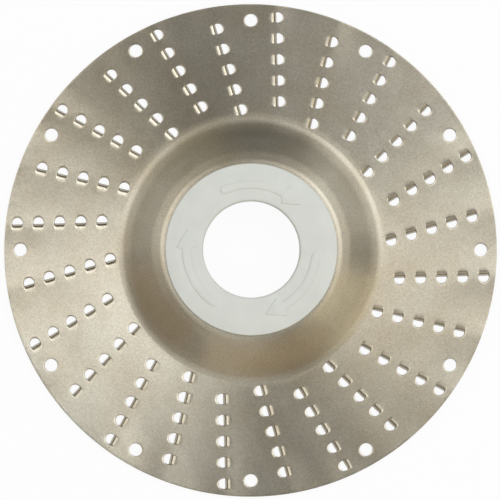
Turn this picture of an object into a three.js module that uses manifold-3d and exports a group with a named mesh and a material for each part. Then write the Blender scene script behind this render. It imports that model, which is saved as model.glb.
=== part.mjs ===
// Rasp disc for an angle grinder: a dished steel sheet with punched teeth, held between the two
// halves of a plastic hub. Millimetres, +Z along the spindle towards the grinder. The origin lies
// on the spindle axis, in the plane of the tooth tips.

import * as THREE from 'three';
import { ConvexGeometry } from 'three/addons/geometries/ConvexGeometry.js';
import { mergeGeometries, mergeVertices } from 'three/addons/utils/BufferGeometryUtils.js';
import Module from 'manifold-3d';

const wasm = await Module();
wasm.setup();

// ---- Driving dimensions ----

// Steel sheet
const DISC_D = 115;
const SHEET_T = 1.0;
const DISH_RISE = 8.0;
const DISH_SLOPE = THREE.MathUtils.degToRad(40.5);
const CREASE_R = 3.0; // fillet between rim and cone, on the upper face
const SHOULDER_R = 1.8; // fillet between cone and hub flat, on the upper face

// Hub
const BORE_D = 22.23;
const HUB_RING_D = 39.6;
const REAR_RING_T = 1.0;
const FRONT_RING_T = 1.2;
const SPIGOT_WALL = 2.0;
const RING_CHAMFER = 0.25;
const BEAD_H = 0.35; // snap bead on the spigot, in the front ring's groove
const BEAD_W = 0.5;

// Rows of teeth
const ROWS = 24;
const ROW_TILT = THREE.MathUtils.degToRad(1.45); // row line to the radius it starts from
const ROW_END_SETBACK = 3.2; // rim to the last tooth of a long row, along the row
const TOOTH_PITCH = 4.93;
const EDGE_OFFSET = [7.36, 6.92]; // spindle axis to the cutting edges, on even and odd rows

// One tooth
const TOOTH_D = 2.5; // round punch that cuts the opening
const TOOTH_SET = 0.27; // punch centre ahead of the cutting edge
const LIP_DEPTH = 1.1; // tooth tip below the sheet
const LIP_RUN = 1.35; // ramp length on the upper face
const LIP_FLAT = 1.3; // straight middle of the pocket's floor at the cutting edge
const LIP_T = 0.95; // lip thickness at the cutting edge, upright
const LIP_GROWTH = 0.36; // how far the lip's outside spreads past its pocket

// Round holes near the rim
const RIM_HOLES = 12;
const RIM_HOLE_D = 3.0;
const RIM_HOLE_SETBACK = 3.75; // rim to hole centre

// Clearances
const SLIP_GAP = 0.25; // spigot to the steel, radially
const FACE_GAP = 0.05; // each plastic ring to the steel's face
const SNAP_GAP = 0.1; // front ring to the spigot and its bead
const RING_EDGE_GAP = 0.3; // ring edge to the start of the shoulder
const TOOTH_LAND = 1.3; // flat sheet left between the crease and the first cutting edge

// Faceting
const TURN_STEPS = 48;
const FILLET_STEPS = 2;
const PUNCH_STEPS = 4;
const LIP_STEPS = 3;
const HOLE_STEPS = 12;

// Overlaps of the tools that shape the sheet
const OVERCUT = 0.5; // punches run past both faces
const POCKET_OVERCUT = 0.12; // pockets run past the upper face
const FRONT_OVERCUT = 0.05; // pockets run into the punched opening, and stay inside its corners
const LIP_ROOT = 0.25; // lips start inside the sheet

// ---- Worked out from the dimensions ----

const rimBottom = LIP_DEPTH;
const rimTop = rimBottom + SHEET_T;
const hubTop = rimTop + DISH_RISE;
const hubBottom = hubTop - SHEET_T;
const discR = DISC_D / 2;
const boreR = BORE_D / 2;
const ringR = HUB_RING_D / 2;
const spigotR = boreR + SPIGOT_WALL;
const steelHoleR = spigotR + SLIP_GAP;
const shoulderStartR = ringR + RING_EDGE_GAP;
const halfSlope = Math.tan(DISH_SLOPE / 2);
const shoulderCornerR = shoulderStartR + SHOULDER_R * halfSlope;
const creaseCornerR = shoulderCornerR + DISH_RISE / Math.tan(DISH_SLOPE);
const creaseEndR = creaseCornerR + CREASE_R * halfSlope;

// ---- Materials ----

const steel = new THREE.MeshStandardMaterial({ color: 0xa89f90, roughness: 0.38, metalness: 1.0 });
const plastic = new THREE.MeshStandardMaterial({ color: 0xd6d7d1, roughness: 0.6, metalness: 0.0 });

// ---- Geometry helpers ----

function welded(geometry) {
  geometry.deleteAttribute('normal');
  geometry.deleteAttribute('uv');
  return mergeVertices(geometry);
}

function toManifold(geometry) {
  const closed = welded(geometry);
  const vertProperties = new Float32Array(closed.attributes.position.array);
  const triVerts = new Uint32Array(closed.index.array);
  return new wasm.Manifold(new wasm.Mesh({ numProp: 3, vertProperties, triVerts }));
}

function toGeometry(manifold) {
  const mesh = manifold.getMesh();
  const geometry = new THREE.BufferGeometry();
  geometry.setAttribute('position', new THREE.BufferAttribute(mesh.vertProperties, 3));
  geometry.setIndex(new THREE.BufferAttribute(mesh.triVerts, 1));
  geometry.computeVertexNormals();
  return geometry;
}

// A ring turned about Z from an outline of [radius, height] points that runs counter-clockwise.
function turned(outline) {
  const closed = [...outline, outline[0]];
  const points = closed.map(([radius, height]) => new THREE.Vector2(radius, height));
  const geometry = new THREE.LatheGeometry(points, TURN_STEPS);
  geometry.rotateX(Math.PI / 2);
  return welded(geometry);
}

// Points [radius, height] along an arc; angles are measured from the outward radius.
function arc(centreR, centreZ, radius, from, to, steps) {
  const points = [];
  for (let i = 0; i <= steps; i += 1) {
    const angle = from + ((to - from) * i) / steps;
    points.push([centreR + radius * Math.cos(angle), centreZ + radius * Math.sin(angle)]);
  }
  return points;
}

// ---- Steel disc ----

function dishOutline() {
  const up = Math.PI / 2;
  const shoulderZ = hubTop - SHOULDER_R;
  const creaseZ = rimTop + CREASE_R;
  const slopeUp = up - DISH_SLOPE;
  const crease = (radius, from, to) => arc(creaseEndR, creaseZ, radius, from, to, FILLET_STEPS);
  const shoulder = (radius, from, to) => arc(shoulderStartR, shoulderZ, radius, from, to, FILLET_STEPS);
  return [
    [steelHoleR, hubBottom],
    ...shoulder(SHOULDER_R - SHEET_T, up, slopeUp),
    ...crease(CREASE_R + SHEET_T, slopeUp - Math.PI, -up),
    [discR, rimBottom],
    [discR, rimTop],
    ...crease(CREASE_R, -up, slopeUp - Math.PI),
    ...shoulder(SHOULDER_R, slopeUp, up),
    [steelHoleR, hubTop],
  ];
}

// Where each tooth stands: x runs along its row, y points back from the cutting edge.
function toothPlacements() {
  const placements = [];
  const rowEnd = discR - ROW_END_SETBACK;
  for (let row = 0; row < ROWS; row += 1) {
    const odd = row % 2;
    const offset = EDGE_OFFSET[odd];
    const turn = new THREE.Matrix4().makeRotationZ((2 * Math.PI * row) / ROWS + ROW_TILT);
    let along = rowEnd - (odd * TOOTH_PITCH) / 2;
    while (Math.hypot(along, offset) > creaseEndR + TOOTH_LAND) {
      const move = new THREE.Matrix4().makeTranslation(along, -offset, 0);
      placements.push(turn.clone().multiply(move));
      along -= TOOTH_PITCH;
    }
  }
  return placements;
}

const chordHalf = Math.sqrt((TOOTH_D / 2) ** 2 - TOOTH_SET ** 2);

// The D-shaped opening: a round punch that stops at the cutting edge.
function punchTool() {
  const edgeAngle = Math.asin(TOOTH_SET / (TOOTH_D / 2));
  const shape = new THREE.Shape();
  shape.moveTo(-chordHalf, 0);
  shape.absarc(0, -TOOTH_SET, TOOTH_D / 2, Math.PI - edgeAngle, edgeAngle, false);
  const depth = SHEET_T + 2 * OVERCUT;
  // A curve in a Shape is divided into twice curveSegments.
  const options = { depth, bevelEnabled: false, curveSegments: PUNCH_STEPS / 2 };
  return new THREE.ExtrudeGeometry(shape, options).translate(0, 0, rimBottom - OVERCUT);
}

// A half-round form that narrows downwards to a straight edge at y = 0.
function scoop(halfWidth, run, top, edgeHalf, bottom, front) {
  const points = [];
  for (let i = 0; i <= LIP_STEPS; i += 1) {
    const angle = (Math.PI * i) / LIP_STEPS;
    points.push(new THREE.Vector3(halfWidth * Math.cos(angle), run * Math.sin(angle), top));
  }
  for (const side of [-1, 1]) {
    points.push(new THREE.Vector3(side * edgeHalf, 0, bottom));
    if (front > 0) {
      points.push(new THREE.Vector3(side * edgeHalf, -front, bottom));
      points.push(new THREE.Vector3(side * halfWidth, -front, top));
    }
  }
  return new ConvexGeometry(points);
}

// A scoop whose walls keep their slope as its top is carried on up by a given height.
function raisedScoop(halfWidth, run, top, edgeHalf, bottom, extra, front) {
  const grow = extra / (top - bottom);
  const wider = halfWidth + (halfWidth - edgeHalf) * grow;
  return scoop(wider, run * (1 + grow), top + extra, edgeHalf, bottom, front);
}

function lipForm() {
  const halfWidth = chordHalf + LIP_GROWTH;
  const run = LIP_RUN + LIP_GROWTH;
  const edgeHalf = LIP_FLAT / 2 + LIP_GROWTH / 2;
  return raisedScoop(halfWidth, run, rimBottom, edgeHalf, 0, LIP_ROOT, 0);
}

function pocketForm() {
  const halfWidth = chordHalf - FRONT_OVERCUT;
  const edgeHalf = LIP_FLAT / 2;
  return raisedScoop(halfWidth, LIP_RUN, rimTop, edgeHalf, LIP_T, POCKET_OVERCUT, FRONT_OVERCUT);
}

function copies(tool, placements) {
  const base = welded(tool).toNonIndexed();
  return mergeGeometries(placements.map((place) => base.clone().applyMatrix4(place)));
}

function rimHolePlacements() {
  const placements = [];
  for (let i = 0; i < RIM_HOLES; i += 1) {
    const turn = new THREE.Matrix4().makeRotationZ((2 * Math.PI * i) / RIM_HOLES);
    const move = new THREE.Matrix4().makeTranslation(discR - RIM_HOLE_SETBACK, 0, 0);
    placements.push(turn.multiply(move));
  }
  return placements;
}

function rimHoleTool() {
  const height = SHEET_T + 2 * OVERCUT;
  const tool = new THREE.CylinderGeometry(RIM_HOLE_D / 2, RIM_HOLE_D / 2, height, HOLE_STEPS);
  return tool.rotateX(Math.PI / 2).translate(0, 0, rimBottom + SHEET_T / 2);
}

function raspDisc() {
  const teeth = toothPlacements();
  const lips = toManifold(copies(lipForm(), teeth));
  const pockets = toManifold(copies(pocketForm(), teeth));
  const punches = toManifold(copies(punchTool(), teeth));
  const holes = toManifold(copies(rimHoleTool(), rimHolePlacements()));
  const sheet = toManifold(turned(dishOutline()));
  const cut = sheet.add(lips).subtract(pockets).subtract(punches).subtract(holes);
  return toGeometry(cut);
}

// ---- Plastic hub ----

const rearSeat = hubTop + FACE_GAP;
const frontSeat = hubBottom - FACE_GAP;
const frontFace = frontSeat - FRONT_RING_T;
const beadZ = frontSeat - FRONT_RING_T / 2;

// Rear half: the ring under the grinder's flange, with the spigot that passes through the steel.
function rearRing() {
  const top = rearSeat + REAR_RING_T;
  return turned([
    [boreR, frontFace],
    [spigotR, frontFace],
    [spigotR, beadZ - BEAD_W / 2],
    [spigotR + BEAD_H, beadZ],
    [spigotR, beadZ + BEAD_W / 2],
    [spigotR, rearSeat],
    [ringR, rearSeat],
    [ringR, top - RING_CHAMFER],
    [ringR - RING_CHAMFER, top],
    [boreR, top],
  ]);
}

// Front half: the ring under the grinder's nut, snapped over the spigot's bead.
function frontRing() {
  const innerR = spigotR + SNAP_GAP;
  const grooveHalf = BEAD_W / 2 + SNAP_GAP;
  return turned([
    [innerR, frontFace],
    [ringR - RING_CHAMFER, frontFace],
    [ringR, frontFace + RING_CHAMFER],
    [ringR, frontSeat],
    [innerR, frontSeat],
    [innerR, beadZ + grooveHalf],
    [innerR + BEAD_H, beadZ],
    [innerR, beadZ - grooveHalf],
  ]);
}

// ---- Assembly ----

function named(name, geometry, material) {
  const mesh = new THREE.Mesh(geometry, material);
  mesh.name = name;
  return mesh;
}

const hub = new THREE.Group();
hub.add(named('hub_ring_rear', rearRing(), plastic));
hub.add(named('hub_ring_front', frontRing(), plastic));

const group = new THREE.Group();
group.add(named('rasp_disc', raspDisc(), steel));
group.add(hub);

export default group;
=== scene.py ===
"""A dished rasp disc for an angle grinder, with its two-part plastic hub."""

from math import atan2, cos, exp, pi, radians, sin, sqrt, tan

import bmesh
import bpy
from bpy.props import FloatProperty, FloatVectorProperty, IntProperty, PointerProperty
from bpy.types import Operator, Panel, PropertyGroup
from mathutils import Matrix, Vector


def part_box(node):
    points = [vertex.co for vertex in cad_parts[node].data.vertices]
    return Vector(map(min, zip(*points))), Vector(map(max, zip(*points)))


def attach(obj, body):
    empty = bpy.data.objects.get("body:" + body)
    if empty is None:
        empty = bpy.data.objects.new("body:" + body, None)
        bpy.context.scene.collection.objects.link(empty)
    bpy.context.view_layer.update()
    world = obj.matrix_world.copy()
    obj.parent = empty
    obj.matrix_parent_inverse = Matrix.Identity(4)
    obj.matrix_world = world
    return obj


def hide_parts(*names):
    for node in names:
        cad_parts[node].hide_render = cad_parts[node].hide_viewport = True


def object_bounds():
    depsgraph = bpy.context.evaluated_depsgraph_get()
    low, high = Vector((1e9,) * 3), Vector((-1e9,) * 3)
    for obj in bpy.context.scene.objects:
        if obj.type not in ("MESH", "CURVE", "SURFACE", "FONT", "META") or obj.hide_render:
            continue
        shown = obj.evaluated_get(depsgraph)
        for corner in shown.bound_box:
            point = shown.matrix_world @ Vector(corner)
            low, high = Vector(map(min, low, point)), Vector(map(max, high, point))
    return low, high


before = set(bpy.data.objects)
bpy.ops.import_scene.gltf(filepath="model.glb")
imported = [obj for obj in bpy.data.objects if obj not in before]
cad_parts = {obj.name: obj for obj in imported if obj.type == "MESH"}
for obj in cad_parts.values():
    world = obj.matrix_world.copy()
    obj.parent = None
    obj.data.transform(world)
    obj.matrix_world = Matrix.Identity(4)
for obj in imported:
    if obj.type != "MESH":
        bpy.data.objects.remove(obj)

bl_info = {
    "name": "Rasp Disc",
    "version": (1, 0, 0),
    "blender": (4, 5, 0),
    "location": "View3D > Sidebar > Rasp Disc",
    "description": "Builds a dished rasp disc with pressed teeth and its plastic hub",
    "category": "Add Mesh",
}

CAD_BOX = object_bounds()
MM = 0.001

FLAT_EDGE = 31.17 * MM  # where the crease ends and the flat rim starts
RIM_BAND = 0.5 * MM  # width of the turned band at the rim's edge
SEAT_GAP = 0.05 * MM  # clearance between the sheet and each hub ring
WELD = 0.003 * MM  # points nearer than this are one
SLIVER = 0.001 * MM
WHITE = (1, 1, 1, 1)

disc_low, disc_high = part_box("rasp_disc")
rear_low, rear_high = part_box("hub_ring_rear")
front_low, front_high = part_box("hub_ring_front")


# ---- Sizes and colours that a user would change ----


def length(name, millimetres, description):
    """A length property, stored in metres."""
    return FloatProperty(
        name=name,
        description=description,
        default=millimetres * MM,
        min=0.0,
        subtype="DISTANCE",
        unit="LENGTH",
        precision=5,
    )


def colour(name, value, description):
    """A linear colour property."""
    return FloatVectorProperty(
        name=name,
        description=description,
        default=value,
        size=3,
        min=0.0,
        max=1.0,
        subtype="COLOR",
    )


def angle(name, degrees, description):
    """An angle property, stored in radians."""
    return FloatProperty(
        name=name,
        description=description,
        default=radians(degrees),
        subtype="ANGLE",
        unit="ROTATION",
    )


class SheetSizes(PropertyGroup):
    """The dished steel sheet."""

    thickness: length("Thickness", 1.0, "Thickness of the sheet")
    dish_rise: length("Dish rise", 8.0, "Rim face up to hub flat")
    dish_slope: angle("Dish slope", 40.5, "Slope of the cone")
    crease_radius: length("Crease radius", 2.75, "Fillet between rim and cone")
    shoulder_start: length("Hub flat radius", 20.1, "Where the hub flat starts to turn down")
    shoulder_radius: length("Shoulder radius", 1.8, "Fillet between hub flat and cone")
    hub_hole_radius: length("Hub hole radius", 13.365, "Hole that the plastic spigot passes through")
    rim_rounding: length("Rim rounding", 0.1, "Rounding of the sheared rim edges")
    rim_set: angle("Rim set", 7.0, "Slight upward lean of the rim's finish")
    segments: IntProperty(name="Segments", description="Steps round the disc", default=192, min=24)


class ToothSizes(PropertyGroup):
    """The pressed teeth and their rows."""

    rows: IntProperty(name="Rows", description="Rows round the rim", default=24, min=2)
    per_row: IntProperty(name="Teeth per row", description="Teeth in each row", default=5, min=1)
    pitch: length("Pitch", 4.93, "Distance between teeth in a row")
    row_setback: length("Row setback", 3.2, "Rim to the last tooth, along the row")
    row_tilt: angle("Row tilt", 1.45, "Row line to the radius it starts from")
    even_offset: length("Even offset", 7.36, "Axis to the cutting edges of even rows")
    odd_offset: length("Odd offset", 6.92, "Axis to the cutting edges of odd rows")
    punch_radius: length("Punch radius", 1.25, "Round punch that cuts the opening")
    punch_set: length("Punch set", 0.27, "Punch centre ahead of the cutting edge")
    lip_depth: length("Lip depth", 1.099, "Tooth tip below the sheet")
    lip_run: length("Lip run", 1.5, "Length of the pressed ramp")
    lip_bend: length("Lip bend", 0.62, "Length of the ramp's steep last stretch")
    lip_gentle: FloatProperty(
        name="Gentle share",
        description="Share of the depth that the ramp's long gentle stretch takes",
        default=0.32,
        min=0.0,
        max=1.0,
    )
    lip_thickness: length("Lip thickness", 0.95, "Upright thickness at the cutting edge")
    patch_length: length("Patch half length", 1.6, "Half of the sheet patch, along the row")
    patch_width: length("Patch half width", 2.3, "Half of the sheet patch, across the row")
    patch_set: length("Patch set", 0.2, "Patch centre behind the cutting edge")
    segments: IntProperty(name="Segments", description="Steps round a tooth", default=32, min=16)


class HoleSizes(PropertyGroup):
    """The round holes near the rim."""

    count: IntProperty(name="Holes", description="Round holes near the rim", default=12, min=1)
    radius: length("Hole radius", 1.5, "Radius of a rim hole")
    setback: length("Hole setback", 3.75, "Rim to a hole's centre")
    collar: length("Collar radius", 1.95, "Radius of the sheet patch round a hole")
    rounding: length("Edge rounding", 0.1, "Rounding of the punched edge")
    segments: IntProperty(name="Segments", description="Steps round a hole", default=32, min=12)


class HubSizes(PropertyGroup):
    """The two halves of the plastic hub."""

    bore_radius: length("Bore radius", 11.115, "Radius of the spindle bore")
    spigot_radius: length("Spigot radius", 13.115, "Outside of the spigot")
    bore_rounding: length("Bore rounding", 0.55, "Rounding of the bore's upper edge")
    edge_rounding: length("Edge rounding", 0.35, "Rounding of the ring's outer edge")
    field_radius: length("Field radius", 17.4, "Where the flat field ends")
    land_drop: length("Land drop", 0.22, "Fall of the sloping land outside the field")
    relief: length("Relief", 0.2, "Height of the raised arrows")
    arrow_middle: length("Arrow radius", 14.92, "Middle of the arrow's shaft")
    arrow_half: length("Arrow half width", 0.95, "Half the width of the shaft")
    arrow_barb: length("Arrow barb", 2.4, "Half the width of the head")
    arrow_span: angle("Arrow span", 75.0, "Tip to tail")
    arrow_head: angle("Arrow head", 16.5, "Tip to barbs")
    arrow_tip: angle("First tip", 42.0, "Direction of the first arrow's tip")
    arrows: IntProperty(name="Arrows", description="Arrows round the ring", default=3, min=1)
    bead: length("Snap bead", 0.35, "Height of the bead that holds the front ring")
    segments: IntProperty(name="Segments", description="Steps round the hub", default=160, min=24)


class Finishes(PropertyGroup):
    """Colours of the steel and the plastic."""

    steel: colour("Steel", (0.60, 0.55, 0.44), "Satin stainless steel")
    steel_warm: colour("Warm steel", (0.54, 0.475, 0.36), "Warmer patches of the steel")
    plastic: colour("Plastic", (0.71, 0.725, 0.68), "Moulded hub plastic")
    floor: colour("Floor", (0.85, 0.85, 0.85), "Floor under the disc")


# ---- Mesh helpers ----


def new_piece(name, mesh, body, node):
    """Puts a finished mesh in the scene in place of a CAD node."""
    piece = bpy.data.objects.new(name, mesh)
    bpy.context.scene.collection.objects.link(piece)
    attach(piece, body)
    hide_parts(node)
    return piece


def arc(centre_r, centre_z, radius, start, end, steps):
    """Points (radius, height) along an arc; angles are measured from the outward radius."""
    points = []
    for step in range(steps + 1):
        a = start + (end - start) * step / steps
        points.append((centre_r + radius * cos(a), centre_z + radius * sin(a)))
    return points


def add_turned(shape, outline, segments, closed):
    """Turns an outline of (radius, height) points about the spindle axis."""
    rings = []
    for radius, height in outline:
        ring = []
        for step in range(segments):
            a = 2 * pi * step / segments
            ring.append(shape.verts.new((radius * cos(a), radius * sin(a), height)))
        rings.append(ring)
    pairs = list(zip(rings, rings[1:]))
    if closed:
        pairs.append((rings[-1], rings[0]))
    for lower, upper in pairs:
        bridge(shape, lower, upper)
    return rings


def bridge(shape, first, second):
    """Joins two rings of the same number of points with quads."""
    count = len(first)
    for step in range(count):
        after = (step + 1) % count
        shape.faces.new((first[step], first[after], second[after], second[step]))


def finished_mesh(shape, name, sharp_degrees=35.0):
    """Turns a closed bmesh into a smooth-shaded mesh with its sharp edges marked."""
    bmesh.ops.recalc_face_normals(shape, faces=shape.faces)
    mesh = bpy.data.meshes.new(name)
    shape.to_mesh(mesh)
    shape.free()
    mesh.shade_smooth()
    mesh.set_sharp_from_angle(angle=radians(sharp_degrees))
    return mesh


# ---- Steel disc ----


def dish_outline(sheet, rim_top, flat_edge):
    """Open outline of the dish: from the rim's top face over the hub and back below."""
    up = pi / 2
    t = sheet.thickness
    hub_top = rim_top + sheet.dish_rise
    turn = up - sheet.dish_slope
    corner = sheet.shoulder_start + sheet.shoulder_radius * tan(sheet.dish_slope / 2)
    crease_corner = corner + sheet.dish_rise / tan(sheet.dish_slope)
    crease_end = crease_corner + sheet.crease_radius * tan(sheet.dish_slope / 2)
    shoulder_z = hub_top - sheet.shoulder_radius
    crease_z = rim_top + sheet.crease_radius
    hole = sheet.hub_hole_radius
    nick = 0.12 * MM

    def crease(radius, start, end):
        return arc(crease_end, crease_z, radius, start, end, 10)

    def shoulder(radius, start, end):
        return arc(sheet.shoulder_start, shoulder_z, radius, start, end, 8)

    return [
        (flat_edge, rim_top),
        *crease(sheet.crease_radius, -up, turn - pi),
        *shoulder(sheet.shoulder_radius, turn, up),
        (hole + nick, hub_top),
        (hole, hub_top - nick),
        (hole, hub_top - t + nick),
        (hole + nick, hub_top - t),
        *shoulder(sheet.shoulder_radius - t, up, turn),
        *crease(sheet.crease_radius + t, turn - pi, -up),
        (flat_edge, rim_top - t),
    ]


def rim_outline(sheet, rim_top, rim_radius, band):
    """Open outline of the rim's edge, rounded above and below."""
    rounding = sheet.rim_rounding
    bottom = rim_top - sheet.thickness
    middle = rim_radius - rounding
    return [
        (rim_radius - band, rim_top),
        *arc(middle, rim_top - rounding, rounding, pi / 2, 0, 4),
        *arc(middle, bottom + rounding, rounding, 0, -pi / 2, 4),
        (rim_radius - band, bottom),
    ]


def eased(value, low, high):
    """A smooth step from 0 at low to 1 at high."""
    share = min(1.0, max(0.0, (value - low) / (high - low)))
    return share * share * (3 - 2 * share)


def press(x, y, half, side, profile):
    """Share of the full depth at a point of a pressed lip whose cutting edge lies on y = 0."""
    return eased(abs(x), half + side, half - side) * profile(y)


def tooth_outline(teeth):
    """Points round a tooth's D-shaped opening, anticlockwise from the cutting edge's right end."""
    half = sqrt(teeth.punch_radius**2 - teeth.punch_set**2)
    chord_shares = (1, 0.94, 0.86, 0.72, 0.5, 0.25, 0, -0.25, -0.5, -0.72, -0.86, -0.94)
    points = [Vector((half * share, 0.0)) for share in chord_shares]
    arc_steps = teeth.segments - len(points)
    start = atan2(teeth.punch_set, -half)
    sweep = 2 * pi - 2 * (start - pi / 2)
    for step in range(arc_steps):
        a = start + sweep * step / arc_steps
        points.append(Vector((teeth.punch_radius * cos(a), -teeth.punch_set + teeth.punch_radius * sin(a))))
    return points, half


def tooth_mesh(teeth, sheet):
    """One pressed tooth in its patch of sheet; x runs along the row, y back from the edge."""
    shape = bmesh.new()
    count = teeth.segments
    inner, chord_half = tooth_outline(teeth)
    outer = []
    for step in range(count):
        a = 2 * pi * (step + 2) / count
        outer.append(Vector((teeth.patch_length * cos(a), teeth.patch_set + teeth.patch_width * sin(a))))
    upper_depth = teeth.lip_depth + sheet.thickness - teeth.lip_thickness
    roll, roll_reach = 0.12 * MM, 0.12 * MM
    flat_from = 0.88
    upper_steps = (0, 0.06, 0.13, 0.21, 0.3, 0.44, 0.64, flat_from, 1)
    lower_steps = (0, 0.14, 0.3, 0.48, 0.67, flat_from, 1)

    def fade(share):
        return max(0.0, 1 - (share / flat_from) ** 4)

    def ramp(y):
        if y < 0:
            return 0.0
        gentle = max(0.0, 1 - y / teeth.lip_run) ** 1.6
        steep = max(0.0, 1 - y / teeth.lip_bend) ** 1.3
        return teeth.lip_gentle * gentle + (1 - teeth.lip_gentle) * steep

    def underside(y):
        if y < 0:
            return eased(y, -0.3 * MM, 0.0)
        return max(0.0, 1 - y / (teeth.lip_run * 1.15)) ** 1.7

    def upper_z(point, gap, share):
        depth = upper_depth * press(point.x, point.y, chord_half - 0.06 * MM, 0.14 * MM, ramp)
        return -(depth + roll * exp(-gap / roll_reach)) * fade(share)

    def lower_z(point, share):
        depth = teeth.lip_depth * press(point.x, point.y, chord_half + 0.1 * MM, 0.25 * MM, underside)
        return -sheet.thickness - depth * fade(share)

    upper = []
    for share in upper_steps:
        ring = []
        for start, end in zip(inner, outer):
            p = start.lerp(end, share)
            gap = (end - start).length * share
            ring.append(shape.verts.new((p.x, p.y, upper_z(p, gap, share))))
        upper.append(ring)
    lower = []
    for share in lower_steps:
        ring = []
        for start, end in zip(inner, outer):
            p = start.lerp(end, share)
            ring.append(shape.verts.new((p.x, p.y, lower_z(p, share))))
        lower.append(ring)
    for first, second in zip(upper, upper[1:]):
        bridge(shape, second, first)
    for first, second in zip(lower, lower[1:]):
        bridge(shape, first, second)
    bridge(shape, upper[0], lower[0])
    mesh = bpy.data.meshes.new("tooth_patch")
    shape.to_mesh(mesh)
    shape.free()
    return mesh


def collar_mesh(holes, sheet):
    """A rim hole in its round patch of sheet, with rounded edges."""
    shape = bmesh.new()
    soft = holes.rounding
    bottom = -sheet.thickness
    middle = holes.radius + soft
    outline = [
        (holes.collar, 0.0),
        *arc(middle, -soft, soft, pi / 2, pi, 3),
        *arc(middle, bottom + soft, soft, pi, 3 * pi / 2, 3),
        (holes.collar, bottom),
    ]
    add_turned(shape, outline, holes.segments, closed=False)
    mesh = bpy.data.meshes.new("rim_hole_collar")
    shape.to_mesh(mesh)
    shape.free()
    return mesh


# ---- Geometry node helpers ----


def add_node(tree, kind, inputs=None, **settings):
    """Adds a node, sets its options and fills or links its inputs."""
    node = tree.nodes.new(kind)
    for key, value in settings.items():
        setattr(node, key, value)
    for key, value in (inputs or {}).items():
        if isinstance(value, bpy.types.NodeSocket):
            tree.links.new(value, node.inputs[key])
        else:
            node.inputs[key].default_value = value
    return node


def maths(tree, operation, *values):
    """A Math node's result."""
    inputs = dict(enumerate(values))
    return add_node(tree, "ShaderNodeMath", inputs, operation=operation).outputs[0]


def group_inputs(tree, sockets):
    """Makes the tree's named inputs and gives their sockets by name."""
    for name, kind in sockets:
        tree.interface.new_socket(name, in_out="INPUT", socket_type=kind)
    tree.interface.new_socket("Geometry", in_out="OUTPUT", socket_type="NodeSocketGeometry")
    return add_node(tree, "NodeGroupInput").outputs


def joined(tree, *geometry):
    """Joins several geometries."""
    node = tree.nodes.new("GeometryNodeJoinGeometry")
    for part in geometry:
        tree.links.new(part, node.inputs[0])
    return node.outputs[0]


def circle(tree, points, radius):
    """A circle curve with its points in the same directions as a turned ring's."""
    inputs = {"Resolution": points, "Radius": radius}
    return add_node(tree, "GeometryNodeCurvePrimitiveCircle", inputs).outputs["Curve"]


def placed(tree, points, instance, spin):
    """Copies of a geometry on points, each turned about Z."""
    turn = add_node(tree, "ShaderNodeCombineXYZ", {"Z": spin}).outputs[0]
    inputs = {"Points": points, "Instance": instance, "Rotation": turn}
    return add_node(tree, "GeometryNodeInstanceOnPoints", inputs).outputs[0]


def around(tree, count, x, y, spin):
    """Points at (x, y), each carried round Z by its own spin."""
    line = add_node(tree, "GeometryNodeMeshLine", {"Count": count}).outputs[0]
    spot = add_node(tree, "ShaderNodeCombineXYZ", {"X": x, "Y": y}).outputs[0]
    turn = {"Vector": spot, "Angle": spin}
    turned = add_node(tree, "ShaderNodeVectorRotate", turn, rotation_type="Z_AXIS").outputs[0]
    inputs = {"Geometry": line, "Position": turned}
    return add_node(tree, "GeometryNodeSetPosition", inputs).outputs[0]


def object_geometry(tree, source):
    """The geometry of an object given as an input."""
    return add_node(tree, "GeometryNodeObjectInfo", {"Object": source}).outputs["Geometry"]


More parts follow.
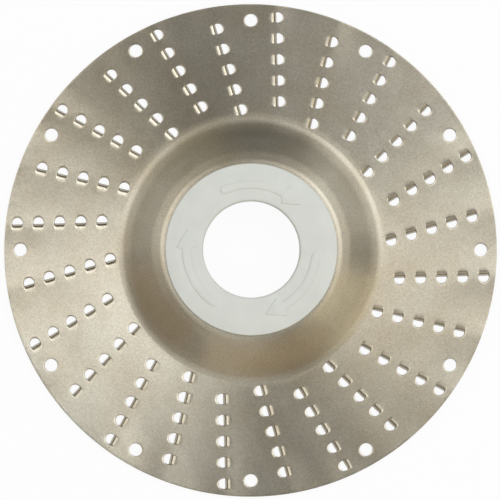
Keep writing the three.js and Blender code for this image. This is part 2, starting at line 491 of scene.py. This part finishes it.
def punched_rim_tree():
    """Nodes that fill the flat rim between turned rings, pressed teeth and punched holes."""
    tree = bpy.data.node_groups.new("punched_rim", "GeometryNodeTree")
    size = group_inputs(
        tree,
        [
            ("Geometry", "NodeSocketGeometry"),
            ("Tooth", "NodeSocketObject"),
            ("Hole Collar", "NodeSocketObject"),
            ("Material", "NodeSocketMaterial"),
            ("Rows", "NodeSocketInt"),
            ("Teeth per Row", "NodeSocketInt"),
            ("Tooth Segments", "NodeSocketInt"),
            ("Holes", "NodeSocketInt"),
            ("Hole Segments", "NodeSocketInt"),
            ("Ring Segments", "NodeSocketInt"),
            ("Pitch", "NodeSocketFloat"),
            ("Row End", "NodeSocketFloat"),
            ("Row Tilt", "NodeSocketFloat"),
            ("Even Offset", "NodeSocketFloat"),
            ("Odd Offset", "NodeSocketFloat"),
            ("Patch Scale", "NodeSocketVector"),
            ("Patch Centre", "NodeSocketVector"),
            ("Hole Circle", "NodeSocketFloat"),
            ("Collar Radius", "NodeSocketFloat"),
            ("Inner Radius", "NodeSocketFloat"),
            ("Outer Radius", "NodeSocketFloat"),
            ("Rim Top", "NodeSocketVector"),
            ("Rim Bottom", "NodeSocketVector"),
        ],
    )

    # Teeth: row by row, each row turned about the spindle axis.
    index = add_node(tree, "GeometryNodeInputIndex").outputs[0]
    row = maths(tree, "FLOOR", maths(tree, "DIVIDE", index, size["Teeth per Row"]))
    place = maths(tree, "SUBTRACT", index, maths(tree, "MULTIPLY", row, size["Teeth per Row"]))
    odd = maths(tree, "MODULO", row, 2.0)
    steps = maths(tree, "MULTIPLY_ADD", odd, 0.5, place)
    along = maths(tree, "SUBTRACT", size["Row End"], maths(tree, "MULTIPLY", steps, size["Pitch"]))
    less = maths(tree, "SUBTRACT", size["Even Offset"], size["Odd Offset"])
    across = maths(tree, "SUBTRACT", maths(tree, "MULTIPLY", odd, less), size["Even Offset"])
    row_turn = maths(tree, "DIVIDE", maths(tree, "MULTIPLY", row, 2 * pi), size["Rows"])
    spin = maths(tree, "ADD", row_turn, size["Row Tilt"])
    total = maths(tree, "MULTIPLY", size["Rows"], size["Teeth per Row"])
    tooth_points = around(tree, total, along, across, spin)
    tooth_copies = placed(tree, tooth_points, object_geometry(tree, size["Tooth"]), spin)

    # Round holes.
    hole_turn = maths(tree, "DIVIDE", maths(tree, "MULTIPLY", index, 2 * pi), size["Holes"])
    hole_points = around(tree, size["Holes"], size["Hole Circle"], 0.0, hole_turn)
    hole_copies = placed(tree, hole_points, object_geometry(tree, size["Hole Collar"]), hole_turn)

    # The flat sheet between them.
    patch = circle(tree, size["Tooth Segments"], 1.0)
    patch_inputs = {"Geometry": patch, "Translation": size["Patch Centre"], "Scale": size["Patch Scale"]}
    patch = add_node(tree, "GeometryNodeTransform", patch_inputs).outputs[0]
    tooth_gaps = placed(tree, tooth_points, patch, spin)
    collar = circle(tree, size["Hole Segments"], size["Collar Radius"])
    hole_gaps = placed(tree, hole_points, collar, hole_turn)
    inner = circle(tree, size["Ring Segments"], size["Inner Radius"])
    outer = circle(tree, size["Ring Segments"], size["Outer Radius"])
    edges = joined(tree, tooth_gaps, hole_gaps, inner, outer)
    edges = add_node(tree, "GeometryNodeRealizeInstances", {"Geometry": edges}).outputs[0]
    sheet = add_node(tree, "GeometryNodeFillCurve", {"Curve": edges}).outputs[0]
    top_inputs = {"Geometry": sheet, "Translation": size["Rim Top"]}
    top = add_node(tree, "GeometryNodeTransform", top_inputs).outputs[0]
    bottom_inputs = {"Geometry": sheet, "Translation": size["Rim Bottom"]}
    bottom = add_node(tree, "GeometryNodeTransform", bottom_inputs).outputs[0]

    # Teeth and collars stand at the sheet's height.
    pressed = joined(tree, tooth_copies, hole_copies)
    pressed_inputs = {"Geometry": pressed, "Translation": size["Rim Top"]}
    pressed = add_node(tree, "GeometryNodeTransform", pressed_inputs).outputs[0]
    whole = joined(tree, size["Geometry"], top, bottom, pressed)
    whole = add_node(tree, "GeometryNodeRealizeInstances", {"Geometry": whole}).outputs[0]
    merge_inputs = {"Geometry": whole, "Distance": 0.004 * MM}
    whole = add_node(tree, "GeometryNodeMergeByDistance", merge_inputs).outputs[0]
    coat_inputs = {"Geometry": whole, "Material": size["Material"]}
    whole = add_node(tree, "GeometryNodeSetMaterial", coat_inputs).outputs[0]
    add_node(tree, "NodeGroupOutput", {"Geometry": whole})
    return tree


def set_inputs(modifier, values):
    """Gives a geometry nodes modifier its input values by their names."""
    for item in modifier.node_group.interface.items_tree:
        if item.item_type == "SOCKET" and item.in_out == "INPUT" and item.name in values:
            modifier[item.identifier] = values[item.name]


def helper_object(name, mesh):
    """An object that only feeds a node tree."""
    helper = bpy.data.objects.new(name, mesh)
    bpy.context.scene.collection.objects.link(helper)
    return helper


class RASPDISC_OT_disc(Operator):
    """Presses the steel sheet: dish, rows of teeth and rim holes"""

    bl_idname = "raspdisc.disc"
    bl_label = "Steel disc"

    def execute(self, context):
        sheet = context.scene.rasp_sheet
        teeth = context.scene.rasp_teeth
        holes = context.scene.rasp_holes
        rim_radius = disc_high.x
        rim_top = disc_high.z - sheet.dish_rise
        shape = bmesh.new()
        add_turned(shape, dish_outline(sheet, rim_top, FLAT_EDGE), sheet.segments, closed=False)
        add_turned(shape, rim_outline(sheet, rim_top, rim_radius, RIM_BAND), sheet.segments, closed=False)
        mesh = bpy.data.meshes.new("turned_rings")
        shape.to_mesh(mesh)
        shape.free()
        rings = helper_object("turned_rings", mesh)
        tooth = helper_object("tooth_patch", tooth_mesh(teeth, sheet))
        collar = helper_object("rim_hole_collar", collar_mesh(holes, sheet))
        modifier = rings.modifiers.new("punched_rim", "NODES")
        modifier.node_group = punched_rim_tree()
        set_inputs(
            modifier,
            {
                "Tooth": tooth,
                "Hole Collar": collar,
                "Material": satin_steel(context.scene.rasp_finishes, teeth, sheet.rim_set),
                "Rows": teeth.rows,
                "Teeth per Row": teeth.per_row,
                "Tooth Segments": teeth.segments,
                "Holes": holes.count,
                "Hole Segments": holes.segments,
                "Ring Segments": sheet.segments,
                "Pitch": teeth.pitch,
                "Row End": rim_radius - teeth.row_setback,
                "Row Tilt": teeth.row_tilt,
                "Even Offset": teeth.even_offset,
                "Odd Offset": teeth.odd_offset,
                "Patch Scale": (teeth.patch_length, teeth.patch_width, 1.0),
                "Patch Centre": (0.0, teeth.patch_set, 0.0),
                "Hole Circle": rim_radius - holes.setback,
                "Collar Radius": holes.collar,
                "Inner Radius": FLAT_EDGE,
                "Outer Radius": rim_radius - RIM_BAND,
                "Rim Top": (0.0, 0.0, rim_top),
                "Rim Bottom": (0.0, 0.0, rim_top - sheet.thickness),
            },
        )
        view_layer = context.view_layer
        view_layer.update()
        evaluated = rings.evaluated_get(context.evaluated_depsgraph_get())
        mesh = bpy.data.meshes.new_from_object(evaluated)
        for helper in (rings, tooth, collar):
            bpy.data.objects.remove(helper)
        coat = mesh.materials[-1]
        shape = bmesh.new()
        shape.from_mesh(mesh)
        for face in shape.faces:
            face.material_index = 0
        finished = finished_mesh(shape, "rasp_disc_steel", 38.0)
        finished.materials.append(coat)
        new_piece("rasp_disc_steel", finished, "disc", "rasp_disc")
        return {"FINISHED"}


# ---- Plastic hub ----


def rear_outline(hub):
    """Closed outline of the rear ring and its spigot."""
    top = rear_high.z
    field = top - hub.relief
    bottom = rear_low.z
    seat = front_high.z + sheet_gap()
    outer = rear_high.x
    bore = hub.bore_radius
    spigot = hub.spigot_radius
    bead_z = (front_low.z + front_high.z) / 2
    bead_half = 0.25 * MM
    nick = 0.15 * MM
    soft = hub.edge_rounding
    land = outer - soft
    return [
        (bore, bottom + nick),
        (bore + nick, bottom),
        (spigot - nick, bottom),
        (spigot, bottom + nick),
        (spigot, bead_z - bead_half),
        (spigot + hub.bead * 0.8, bead_z - bead_half * 0.3),
        (spigot + hub.bead, bead_z),
        (spigot + hub.bead * 0.8, bead_z + bead_half * 0.3),
        (spigot, bead_z + bead_half),
        (spigot, seat),
        (outer - nick / 2, seat),
        (outer, seat + nick / 2),
        *arc(land, field - hub.land_drop - soft, soft, 0, pi / 2 * 0.92, 6),
        (hub.field_radius + 0.08 * MM, field - 0.02 * MM),
        (hub.field_radius - 0.08 * MM, field),
        *arc(bore + hub.bore_rounding, field - hub.bore_rounding, hub.bore_rounding, pi / 2, pi, 7),
    ]


def sheet_gap():
    """Height from the front ring's seat to the rear ring's seat: the sheet and both gaps."""
    return disc_high.z - front_high.z + SEAT_GAP


def front_outline(hub):
    """Closed outline of the front ring, with the groove for the spigot's bead."""
    top = front_high.z
    bottom = front_low.z
    outer = front_high.x
    inner = hub.spigot_radius + 0.1 * MM
    bead_z = (top + bottom) / 2
    groove_half = 0.35 * MM
    soft = hub.edge_rounding
    step = 17.4 * MM
    return [
        (inner + 0.1 * MM, bottom),
        (step - 0.1 * MM, bottom),
        (step + 0.1 * MM, bottom + 0.08 * MM),
        *arc(outer - soft, bottom + 0.12 * MM + soft, soft, -pi / 2, 0, 6),
        (outer, top - 0.1 * MM),
        (outer - 0.1 * MM, top),
        (inner, top),
        (inner, bead_z + groove_half),
        (inner + hub.bead, bead_z + 0.05 * MM),
        (inner + hub.bead, bead_z - 0.05 * MM),
        (inner, bead_z - groove_half),
        (inner, bottom + 0.1 * MM),
    ]


def arrow_outline(hub, tip):
    """Flat outline of one curved arrow that points clockwise, tip first."""
    middle, half = hub.arrow_middle, hub.arrow_half

    def at(radius, turn):
        return Vector((radius * cos(tip + turn), radius * sin(tip + turn)))

    head = hub.arrow_head
    tail = hub.arrow_span - half / middle
    steps = 18
    points = [at(middle + 0.4 * MM, 0.0), at(middle + hub.arrow_barb, head)]
    for step in range(steps + 1):
        points.append(at(middle + half, head + radians(1.0) + (tail - head) * step / steps))
    for step in range(1, 8):
        a = pi * step / 8
        turn = tail + radians(1.0) + half * sin(a) / middle
        points.append(at(middle + half * cos(a), turn))
    for step in range(steps + 1):
        points.append(at(middle - half, tail + radians(1.0) - (tail - head) * step / steps))
    points.append(at(middle - hub.arrow_barb, head - radians(1.5)))
    return points


def arrow_mesh(hub, tip):
    """A raised arrow as a shallow prism with softened top edges, sunk into the field."""
    shape = bmesh.new()
    top = rear_high.z
    outline = arrow_outline(hub, tip)
    face = shape.faces.new([shape.verts.new((p.x, p.y, top - 3 * hub.relief)) for p in outline])
    if face.normal.z < 0:
        face.normal_flip()
    up = bmesh.ops.extrude_face_region(shape, geom=[face])
    lifted = [item for item in up["geom"] if isinstance(item, bmesh.types.BMVert)]
    bmesh.ops.translate(shape, verts=lifted, vec=(0, 0, 3 * hub.relief))
    rim = [e for e in shape.edges if all(abs(v.co.z - top) < 1e-7 for v in e.verts)]
    bmesh.ops.bevel(shape, geom=rim, offset=0.08 * MM, segments=2, profile=0.5, affect="EDGES")
    return finished_mesh(shape, "turn_arrow")


class RASPDISC_OT_rear_ring(Operator):
    """Moulds the rear half of the hub, with its raised turning arrows"""

    bl_idname = "raspdisc.rear_ring"
    bl_label = "Rear hub ring"

    def execute(self, context):
        hub = context.scene.rasp_hub
        shape = bmesh.new()
        add_turned(shape, rear_outline(hub), hub.segments, closed=True)
        ring = helper_object("ring_blank", finished_mesh(shape, "ring_blank"))
        arrows = []
        for number in range(hub.arrows):
            tip = hub.arrow_tip + 2 * pi * number / hub.arrows
            arrow = helper_object(f"turn_arrow_{number}", arrow_mesh(hub, tip))
            arrows.append(arrow)
            weld = ring.modifiers.new("weld", "BOOLEAN")
            weld.operation = "UNION"
            weld.solver = "EXACT"
            weld.object = arrow
        context.view_layer.update()
        evaluated = ring.evaluated_get(context.evaluated_depsgraph_get())
        mesh = bpy.data.meshes.new_from_object(evaluated)
        for helper in (ring, *arrows):
            bpy.data.objects.remove(helper)
        welded = bmesh.new()
        welded.from_mesh(mesh)
        bmesh.ops.remove_doubles(welded, verts=welded.verts, dist=WELD)
        bmesh.ops.dissolve_degenerate(welded, edges=welded.edges, dist=SLIVER)
        open_edges = [edge for edge in welded.edges if edge.is_boundary]
        bmesh.ops.holes_fill(welded, edges=open_edges, sides=0)
        bmesh.ops.triangulate(welded, faces=welded.faces)
        welded.to_mesh(mesh)
        welded.free()
        mesh.materials.clear()
        mesh.materials.append(moulded_plastic(context.scene.rasp_finishes))
        mesh.shade_smooth()
        mesh.set_sharp_from_angle(angle=radians(30))
        new_piece("hub_ring_rear_moulding", mesh, "hub", "hub_ring_rear")
        return {"FINISHED"}


class RASPDISC_OT_front_ring(Operator):
    """Moulds the front half of the hub"""

    bl_idname = "raspdisc.front_ring"
    bl_label = "Front hub ring"

    def execute(self, context):
        hub = context.scene.rasp_hub
        shape = bmesh.new()
        add_turned(shape, front_outline(hub), hub.segments, closed=True)
        mesh = finished_mesh(shape, "hub_ring_front_moulding")
        mesh.materials.append(moulded_plastic(context.scene.rasp_finishes))
        new_piece("hub_ring_front_moulding", mesh, "hub", "hub_ring_front")
        return {"FINISHED"}


# ---- Materials ----


def new_material(name):
    """A node material with only its output and shader, and both nodes."""
    material = bpy.data.materials.new(name)
    material.use_nodes = True
    tree = material.node_tree
    tree.nodes.clear()
    shader = tree.nodes.new("ShaderNodeBsdfPrincipled")
    output = tree.nodes.new("ShaderNodeOutputMaterial")
    tree.links.new(shader.outputs[0], output.inputs["Surface"])
    return material, tree, shader


def in_millimetres(tree):
    """Object coordinates counted in millimetres."""
    spot = tree.nodes.new("ShaderNodeTexCoord").outputs["Object"]
    scale = {0: spot, "Scale": 1 / MM}
    return add_node(tree, "ShaderNodeVectorMath", scale, operation="SCALE").outputs[0]


def noise(tree, vector, scale, detail=2.0, roughness=0.5):
    """A noise texture's value."""
    inputs = {"Vector": vector, "Scale": scale, "Detail": detail, "Roughness": roughness}
    return add_node(tree, "ShaderNodeTexNoise", inputs).outputs["Fac"]


def between(tree, value, low, high, out_low=0.0, out_high=1.0):
    """A value carried from one range to another, held at its ends."""
    inputs = {0: value, 1: low, 2: high, 3: out_low, 4: out_high}
    return add_node(tree, "ShaderNodeMapRange", inputs).outputs[0]


def mixed_colour(tree, share, first, second):
    """A mix of two colours."""
    node = add_node(tree, "ShaderNodeMix", data_type="RGBA")
    for socket, value in ((node.inputs[0], share), (node.inputs[6], first), (node.inputs[7], second)):
        if isinstance(value, bpy.types.NodeSocket):
            tree.links.new(value, socket)
        else:
            socket.default_value = value
    return node.outputs[2]


def bump(tree, height, distance, strength=1.0, normal=None):
    """A bump of a given real depth, on top of another."""
    inputs = {"Height": height, "Distance": distance, "Strength": strength}
    if normal is not None:
        inputs["Normal"] = normal
    return add_node(tree, "ShaderNodeBump", inputs).outputs[0]


def polar(tree, spot):
    """Radius, angle about the spindle axis and height."""
    parts = add_node(tree, "ShaderNodeSeparateXYZ", {0: spot}).outputs
    x_square = maths(tree, "MULTIPLY", parts[0], parts[0])
    y_square = maths(tree, "MULTIPLY", parts[1], parts[1])
    square = maths(tree, "ADD", x_square, y_square)
    return maths(tree, "SQRT", square), maths(tree, "ARCTAN2", parts[1], parts[0]), parts[2]


def row_buckling(tree, spot, radius, turn, teeth):
    """Height, in millimetres, of the low ridge that pressing leaves along each row of teeth."""
    offset = (teeth.even_offset + teeth.odd_offset) / 2 / MM
    lag = maths(tree, "ARCSINE", maths(tree, "DIVIDE", offset, maths(tree, "MAXIMUM", radius, offset + 1)))
    past_row = maths(tree, "SUBTRACT", maths(tree, "ADD", turn, lag), teeth.row_tilt)
    half_sector = pi / teeth.rows
    away = maths(tree, "PINGPONG", maths(tree, "ADD", past_row, 4 * pi), half_sector)
    share = maths(tree, "DIVIDE", away, half_sector)
    square = maths(tree, "MULTIPLY", share, share)
    crest = maths(tree, "SQRT", maths(tree, "ADD", square, 0.03))
    rounded = maths(tree, "SUBTRACT", maths(tree, "MULTIPLY", square, 0.5), crest)
    swell = between(tree, radius, 38.0, 57.0, 0.1, 1.0)
    uneven = between(tree, noise(tree, spot, 0.05, 1.0), 0.35, 0.65, 0.5, 1.5)
    depth = maths(tree, "MULTIPLY", maths(tree, "MULTIPLY", radius, half_sector * tan(radians(3.0))), swell)
    return maths(tree, "MULTIPLY", maths(tree, "MULTIPLY", rounded, depth), uneven)


def satin_steel(finishes, teeth, rim_set):
    """Stainless sheet with a satin grain, rolled streaks, turned marks on the cone, and painted shade on its
    steep faces.
    """
    material, tree, shader = new_material("satin_steel")
    spot = in_millimetres(tree)
    radius, turn, height = polar(tree, spot)

    # Fine satin grain, rolled streaks that cross the sheet, and rings left by the forming tool.
    grain = noise(tree, spot, 3.6, 3.0, 0.7)
    rolled = {"Vector": spot, "Rotation": (0, 0, radians(38)), "Scale": (0.07, 2.6, 1)}
    stretch = add_node(tree, "ShaderNodeMapping", rolled)
    streak = noise(tree, stretch.outputs[0], 2.2, 1.0, 0.5)
    unrolled = {"X": radius, "Y": maths(tree, "MULTIPLY", turn, 0.9)}
    ring_spot = add_node(tree, "ShaderNodeCombineXYZ", unrolled).outputs[0]
    ring_stretch = add_node(tree, "ShaderNodeMapping", {"Vector": ring_spot, "Scale": (3.4, 0.6, 1)})
    rings = noise(tree, ring_stretch.outputs[0], 1.6, 3.0, 0.6)
    on_cone = between(tree, height, 2.3, 3.2)
    patches = noise(tree, spot, 0.09, 3.0, 0.55)
    wave = noise(tree, spot, 0.11, 1.0, 0.4)

    tone = between(tree, patches, 0.35, 0.7)
    tint = mixed_colour(tree, tone, (*finishes.steel, 1), (*finishes.steel_warm, 1))
    fleck_and_shade = between(tree, grain, 0.3, 0.7, 0.76, 1.18)
    # Painted shade: the colour darkens where a face turns away from facing up, down to 0.35 on upright faces
    # such as the cut walls, the rim's edge and the lips' steep ramps.
    face_normal = tree.nodes.new("ShaderNodeNewGeometry").outputs["Normal"]
    facing = add_node(tree, "ShaderNodeSeparateXYZ", {0: face_normal}).outputs[2]
    sheared_and_shaded = between(tree, maths(tree, "ABSOLUTE", facing), 0.25, 0.6, 0.35, 1.0)
    # The random grain flecks and the painted shade together scale the steel's colour.
    fleck_and_shade = maths(tree, "MULTIPLY", fleck_and_shade, sheared_and_shaded)
    shade = add_node(tree, "ShaderNodeVectorMath", {0: tint, "Scale": fleck_and_shade}, operation="SCALE").outputs[0]
    tree.links.new(shade, shader.inputs["Base Color"])

    rough = between(tree, grain, 0.3, 0.7, -0.03, 0.03)
    bend = maths(tree, "MULTIPLY", between(tree, radius, 27.5, 29.5), between(tree, radius, 32.5, 30.8))
    rough = maths(tree, "MULTIPLY_ADD", bend, 0.14, rough)
    shoulder = maths(tree, "MULTIPLY", between(tree, radius, 23.4, 22.2), between(tree, height, 6.5, 8.5))
    rough = maths(tree, "MULTIPLY_ADD", shoulder, 0.12, rough)
    tree.links.new(maths(tree, "ADD", rough, 0.33), shader.inputs["Roughness"])
    shader.inputs["Metallic"].default_value = 1.0
    shader.inputs["Anisotropic"].default_value = 0.75

    outward = add_node(tree, "ShaderNodeVectorMath", {0: spot, 1: (1, 1, 0)}, operation="MULTIPLY").outputs[0]
    outward = add_node(tree, "ShaderNodeVectorMath", {0: outward}, operation="NORMALIZE").outputs[0]
    turned = {"Vector": outward}
    world = add_node(tree, "ShaderNodeVectorTransform", turned, convert_from="OBJECT", convert_to="WORLD")
    tree.links.new(world.outputs[0], shader.inputs["Tangent"])

    beyond_crease = maths(tree, "MAXIMUM", maths(tree, "SUBTRACT", radius, 31.0), 0.0)
    normal = bump(tree, beyond_crease, tan(rim_set) * MM, 1.0)
    normal = bump(tree, row_buckling(tree, spot, radius, turn, teeth), MM, 1.0, normal)
    normal = bump(tree, wave, 0.06 * MM, 1.0, normal)
    normal = bump(tree, streak, 0.004 * MM, 0.8, normal)
    normal = bump(tree, maths(tree, "MULTIPLY", rings, on_cone), 0.004 * MM, 0.8, normal)
    normal = bump(tree, grain, 0.011 * MM, 0.9, normal)
    tree.links.new(normal, shader.inputs["Normal"])
    return material


def moulded_plastic(finishes):
    """Pale matte plastic with a fine moulded grain."""
    found = bpy.data.materials.get("moulded_plastic")
    if found:
        return found
    material, tree, shader = new_material("moulded_plastic")
    spot = in_millimetres(tree)
    grain = noise(tree, spot, 7.0, 2.0, 0.5)
    cloud = noise(tree, spot, 0.25, 2.0, 0.5)
    base = Vector(finishes.plastic)
    tint = mixed_colour(tree, between(tree, cloud, 0.3, 0.7), (*base, 1), (*(base * 0.95), 1))
    tree.links.new(tint, shader.inputs["Base Color"])
    tree.links.new(between(tree, grain, 0.3, 0.7, 0.5, 0.6), shader.inputs["Roughness"])
    shader.inputs["Specular IOR Level"].default_value = 0.4
    tree.links.new(bump(tree, grain, 0.006 * MM, 0.6), shader.inputs["Normal"])
    return material


def pale_floor(finishes):
    """A pale floor that reads white to the camera and keeps a trace of the object's shadow."""
    material = bpy.data.materials.new("pale_floor")
    material.use_nodes = True
    tree = material.node_tree
    tree.nodes.clear()
    matte = add_node(tree, "ShaderNodeBsdfDiffuse", {"Color": (*finishes.floor, 1)}).outputs[0]
    white = add_node(tree, "ShaderNodeEmission", {"Color": WHITE, "Strength": 1.0}).outputs[0]
    path = tree.nodes.new("ShaderNodeLightPath").outputs
    seen = maths(tree, "MAXIMUM", path["Is Camera Ray"], path["Is Glossy Ray"])
    seen = maths(tree, "MAXIMUM", seen, path["Is Transmission Ray"])
    share = maths(tree, "MULTIPLY", seen, 0.94)
    cover = add_node(tree, "ShaderNodeMixShader", {0: share, 1: matte, 2: white}).outputs[0]
    add_node(tree, "ShaderNodeOutputMaterial", {"Surface": cover})
    return material


# ---- Stage ----


def soft_lamp(name, azimuth, elevation, distance, size, power, tint=(1, 1, 1)):
    """An area lamp that looks at the disc."""
    data = bpy.data.lights.new(name, "AREA")
    data.shape = "RECTANGLE"
    data.size, data.size_y = size
    data.energy = power
    data.color = tint
    lamp = bpy.data.objects.new(name, data)
    a, e = radians(azimuth), radians(elevation)
    spot = Vector((cos(e) * cos(a), cos(e) * sin(a), sin(e))) * distance
    lamp.location = spot
    lamp.rotation_euler = (-spot).to_track_quat("-Z", "Y").to_euler()
    bpy.context.scene.collection.objects.link(lamp)
    return lamp


class RASPDISC_OT_stage(Operator):
    """Sets the floor, the soft lamps, the world and the camera"""

    bl_idname = "raspdisc.stage"
    bl_label = "Stage"

    def execute(self, context):
        scene = context.scene
        scene.view_settings.view_transform = "Standard"
        finishes = scene.rasp_finishes

        shape = bmesh.new()
        bmesh.ops.create_grid(shape, x_segments=1, y_segments=1, size=3.0)
        mesh = bpy.data.meshes.new("floor")
        shape.to_mesh(mesh)
        shape.free()
        mesh.materials.append(pale_floor(finishes))
        floor = bpy.data.objects.new("floor", mesh)
        floor.location.z = CAD_BOX[0].z - 0.05 * MM
        scene.collection.objects.link(floor)

        world = bpy.data.worlds.new("studio")
        world.use_nodes = True
        scene.world = world
        tree = world.node_tree
        tree.nodes.clear()
        path = tree.nodes.new("ShaderNodeLightPath").outputs
        strength = maths(tree, "MULTIPLY_ADD", path["Is Camera Ray"], 0.95, 0.05)
        inputs = {"Color": WHITE, "Strength": strength}
        sky = add_node(tree, "ShaderNodeBackground", inputs).outputs[0]
        add_node(tree, "ShaderNodeOutputWorld", {"Surface": sky})

        soft_lamp("lamp_key", 30, 54, 1.0, (0.75, 0.9), 6.1, (0.93, 0.96, 1.0))
        soft_lamp("lamp_second", 160, 54, 1.0, (0.7, 0.9), 4.0)
        soft_lamp("lamp_warm_right", 332, 35, 1.0, (0.6, 0.5), 1.9, (1.0, 0.93, 0.74))
        soft_lamp("lamp_near", 255, 48, 1.0, (0.6, 0.6), 1.1)
        soft_lamp("lamp_far", 120, 35, 1.0, (0.5, 0.5), 0.4, (1.0, 0.95, 0.7))
        soft_lamp("lamp_low_left", 212, 14, 1.0, (0.9, 0.35), 0.35, (1.0, 0.72, 0.38))
        soft_lamp("lamp_low_near", 278, 14, 1.0, (1.3, 0.35), 0.8, (1.0, 0.76, 0.45))

        rim_top = disc_high.z - scene.rasp_sheet.dish_rise
        aim = Vector((-0.2 * MM, 0.0, rim_top))
        distance = 0.54
        lean_x, lean_y = radians(0.78), radians(0.98)
        data = bpy.data.cameras.new("camera")
        data.sensor_width = 36.0
        rim_share = 0.9858
        frame_half = disc_high.x / rim_share
        data.lens = data.sensor_width * distance / (2 * frame_half)
        data.clip_start = 0.01
        camera = bpy.data.objects.new("camera", data)
        camera.location = aim + Vector((-tan(lean_x), -tan(lean_y), 1.0)) * distance
        back = (camera.location - aim).normalized()
        right = Vector((0.0, 1.0, 0.0)).cross(back).normalized()
        camera.rotation_euler = Matrix((right, back.cross(right), back)).transposed().to_euler()
        scene.collection.objects.link(camera)
        scene.camera = camera
        return {"FINISHED"}


class RASPDISC_PT_panel(Panel):
    """Builds the disc piece by piece"""

    bl_label = "Rasp Disc"
    bl_idname = "RASPDISC_PT_panel"
    bl_space_type = "VIEW_3D"
    bl_region_type = "UI"
    bl_category = "Rasp Disc"

    def draw(self, context):
        for operator in OPERATORS:
            self.layout.operator(operator.bl_idname)
        for owner in PROPERTY_OWNERS:
            group = getattr(context.scene, owner)
            box = self.layout.box()
            for name in group.__annotations__:
                box.prop(group, name)


OPERATORS = (
    RASPDISC_OT_stage,
    RASPDISC_OT_disc,
    RASPDISC_OT_rear_ring,
    RASPDISC_OT_front_ring,
)
PROPERTY_OWNERS = {
    "rasp_sheet": SheetSizes,
    "rasp_teeth": ToothSizes,
    "rasp_holes": HoleSizes,
    "rasp_hub": HubSizes,
    "rasp_finishes": Finishes,
}


def register():
    for group in PROPERTY_OWNERS.values():
        bpy.utils.register_class(group)
    for owner, group in PROPERTY_OWNERS.items():
        setattr(bpy.types.Scene, owner, PointerProperty(type=group))
    for operator in OPERATORS:
        bpy.utils.register_class(operator)
    bpy.utils.register_class(RASPDISC_PT_panel)


def unregister():
    bpy.utils.unregister_class(RASPDISC_PT_panel)
    for operator in reversed(OPERATORS):
        bpy.utils.unregister_class(operator)
    for owner, group in PROPERTY_OWNERS.items():
        delattr(bpy.types.Scene, owner)
        bpy.utils.unregister_class(group)


def main():
    register()
    bpy.ops.raspdisc.stage()
    bpy.ops.raspdisc.disc()
    bpy.ops.raspdisc.rear_ring()
    bpy.ops.raspdisc.front_ring()


if __name__ == "__main__":
    main()
